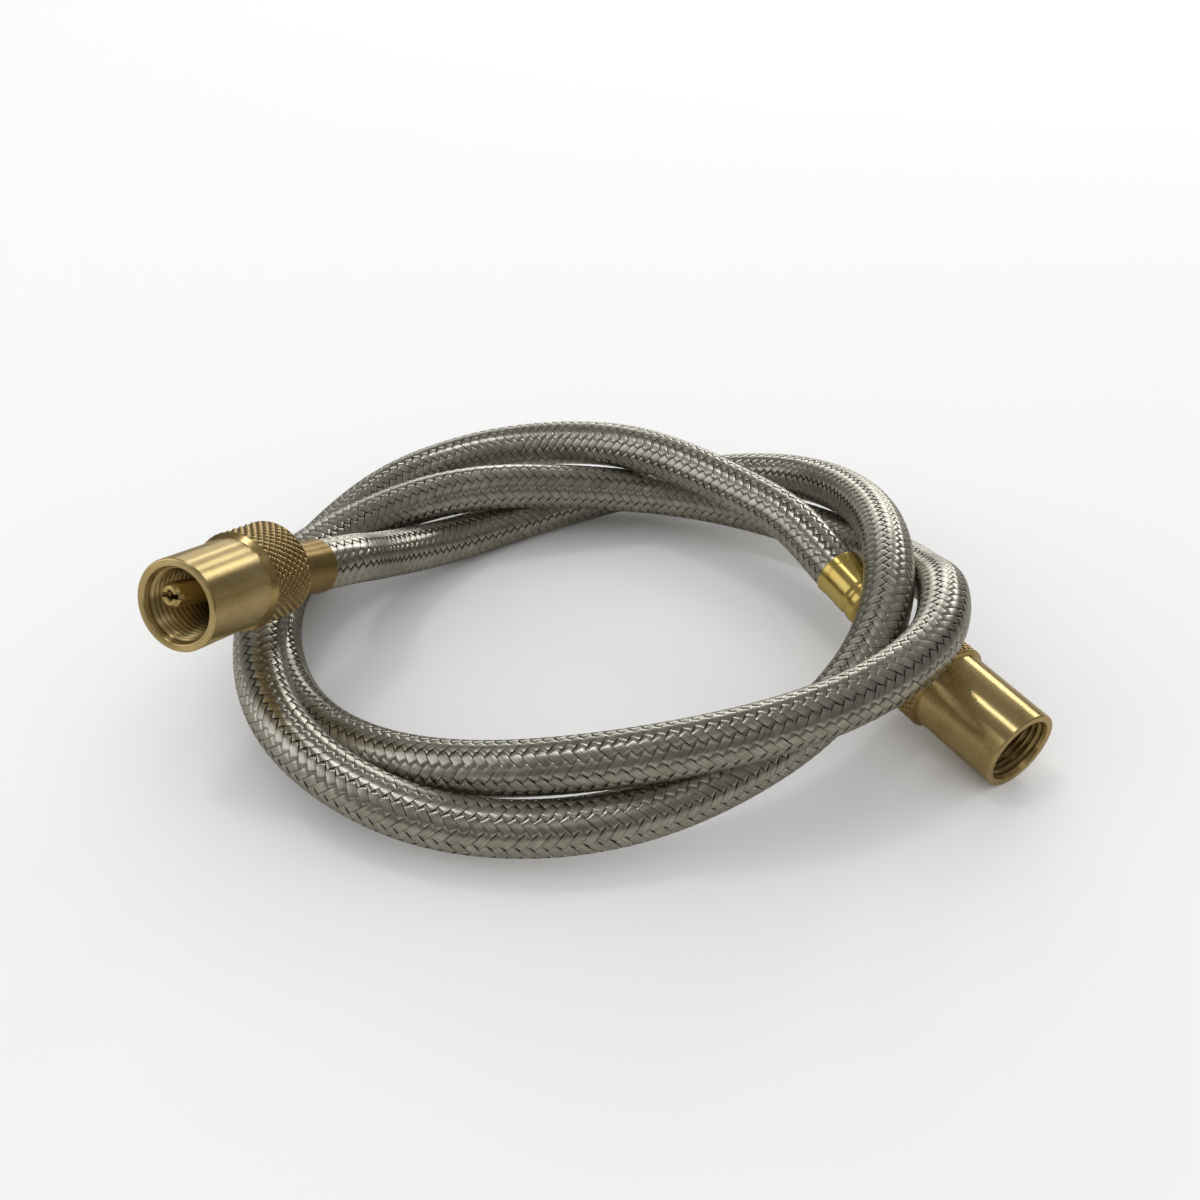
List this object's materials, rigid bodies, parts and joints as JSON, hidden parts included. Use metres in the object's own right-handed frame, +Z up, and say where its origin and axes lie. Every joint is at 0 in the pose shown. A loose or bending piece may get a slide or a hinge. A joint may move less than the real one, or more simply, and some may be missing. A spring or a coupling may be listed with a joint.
{
  "type": "propane regulator hose",
  "caption": "Braided steel gas hose in a loose coil, with a brass ferrule and a knurled swivel coupling nut at each end, one of them around a central probe.",
  "frame": {"origin": "centre of the bounding box, on the surface that the hose lies on", "axes": "+Z up from that surface, the coil lying flat; the left coupling points mostly along -Y and the right coupling mostly along +X"},
  "size_m": [0.1966, 0.184, 0.0563],
  "materials": {
    "steel_braid": "stainless wire braid, semi-bright",
    "rubber": "matt",
    "brass": "turned, satin",
    "bright_brass": "crimped, semi-bright",
    "knurled_brass": "turned nose, diamond-knurled band"
  },
  "bodies": {
    "hose": {"hose_braid": "steel_braid", "hose_liner": "rubber", "left_ferrule": "brass", "left_stem": "brass", "left_seal_washer": "rubber", "left_probe": "brass", "right_ferrule": "bright_brass", "right_stem": "brass", "right_seal_washer": "rubber"},
    "left_nut": {"left_coupling_nut": "knurled_brass"},
    "right_nut": {"right_coupling_nut": "knurled_brass"}
  },
  "joints": [
    {"name": "left_nut_swivel", "type": "hinge", "parent": "hose", "child": "left_nut", "pos_m": [-0.05117, -0.05886, 0.03814], "axis": [0.2011, -0.9398, 0.2761], "continuous": true},
    {"name": "right_nut_swivel", "type": "hinge", "parent": "hose", "child": "right_nut", "pos_m": [0.06318, 0.03484, 0.01368], "axis": [0.9463, -0.3022, -0.1153], "continuous": true}
  ]
}
